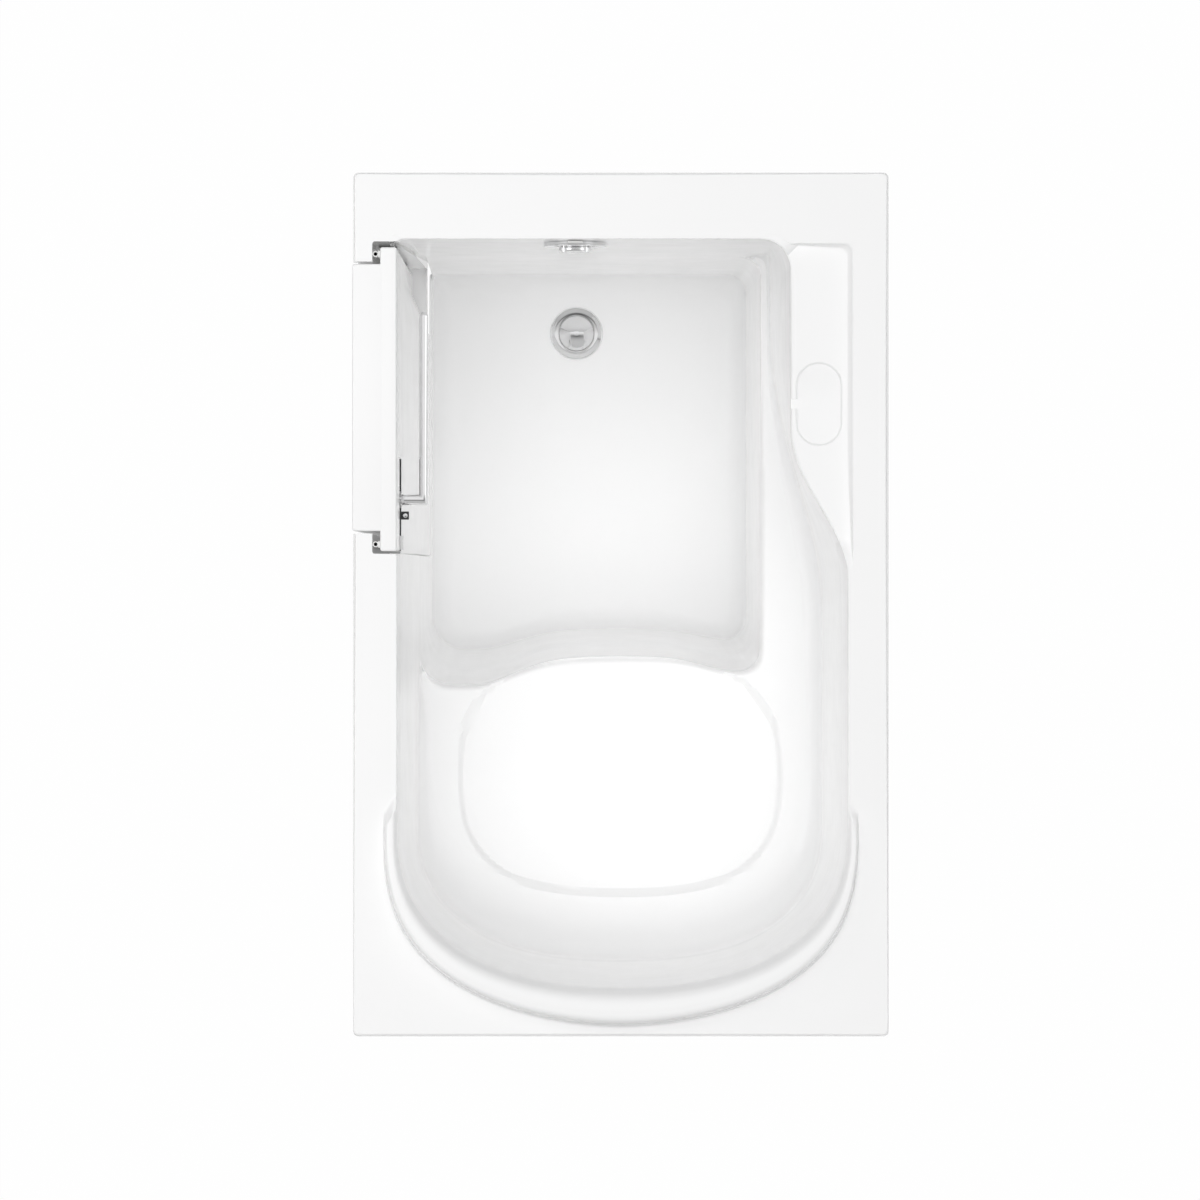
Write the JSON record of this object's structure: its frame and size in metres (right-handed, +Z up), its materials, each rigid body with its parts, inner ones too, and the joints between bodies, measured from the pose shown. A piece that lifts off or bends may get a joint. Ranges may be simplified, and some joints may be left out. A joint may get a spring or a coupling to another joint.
{
  "type": "walk-in bathtub with door",
  "caption": "White walk-in bathtub with an inward-opening side door, lever latch, moulded seat, armrest, side shelf with soap dish, raised back rest and chrome waste and overflow.",
  "frame": {"origin": "centre of the footprint, on the floor under the feet", "axes": "+Z up; the door is on the -X side, the wall on the +X side; the foot end with the overflow is at +Y and the back rest at -Y"},
  "size_m": [0.75, 1.2112, 0.98],
  "materials": {
    "acrylic": "gloss",
    "chrome": "polished",
    "steel": "brushed",
    "dark_steel": "satin",
    "frame_paint": "satin",
    "timber": "raw",
    "seal": "matte",
    "foam": "matte",
    "pvc": "satin",
    "black_plastic": "matte",
    "brass": "machined"
  },
  "bodies": {
    "tub": {"bath_shell": "acrylic", "door_frame": "acrylic", "front_panel": "acrylic", "foot_panel": "acrylic", "back_panel": "acrylic", "base_rails": "frame_paint", "cross_tubes": "frame_paint", "uprights": "frame_paint", "wall_rail": "frame_paint", "wall_brackets": "steel", "seat_posts": "frame_paint", "seat_bearers": "frame_paint", "floor_board": "timber", "seat_board": "timber", "foot_pads": "black_plastic", "foot_rods": "steel", "lock_nuts": "steel", "panel_screws": "steel", "hinge_frame_leaves": "steel", "hinge_pins": "steel", "bolt_keeper": "black_plastic", "strike_plate": "steel", "waste_flange": "chrome", "waste_body": "pvc", "waste_hub": "pvc", "trap": "pvc", "outlet_pipe": "pvc", "overflow_elbow": "pvc", "overflow_pipe": "pvc", "overflow_bush": "pvc", "overflow_face": "chrome"},
    "door": {"door_body": "acrylic", "door_liner": "acrylic", "door_core": "foam", "door_seal": "seal", "hinge_door_leaves": "steel", "latch_plate": "chrome", "bolt_guide": "chrome", "spindle_bush": "black_plastic"},
    "latch_lever": {"pinion": "brass", "latch_spindle": "steel", "lever": "chrome"},
    "bolt": {"slide_bolt": "dark_steel", "bolt_stop": "steel"},
    "waste_plug": {"plug": "chrome"},
    "knob": {"overflow_knob": "chrome"}
  },
  "joints": [
    {"name": "door_swing", "type": "hinge", "parent": "tub", "child": "door", "pos_m": [-0.3192, 0.5024, 0.6], "axis": [0, 0, 1], "range_deg": [0, 64]},
    {"name": "lever_turn", "type": "hinge", "parent": "door", "child": "latch_lever", "pos_m": [-0.3, 0.1485, 0.79], "axis": [-1, 0, 0], "range_deg": [0, 90]},
    {"name": "bolt_slide", "type": "slide", "parent": "door", "child": "bolt", "axis": [0, -1, 0], "range_m": [0, 0.01603]},
    {"name": "knob_turn", "type": "hinge", "parent": "tub", "child": "knob", "pos_m": [-0.064, 0.5, 0.862], "axis": [0, -1, 0], "range_deg": [0, 135]},
    {"name": "plug_lift", "type": "slide", "parent": "tub", "child": "waste_plug", "axis": [0, 0, 1], "range_m": [0, 0.01]}
  ],
  "couplings": [
    {"joint": "bolt_slide", "follows": "lever_turn", "m_per_rad": 0.0102},
    {"joint": "knob_turn", "follows": "plug_lift", "rad_per_m": 235.6}
  ]
}
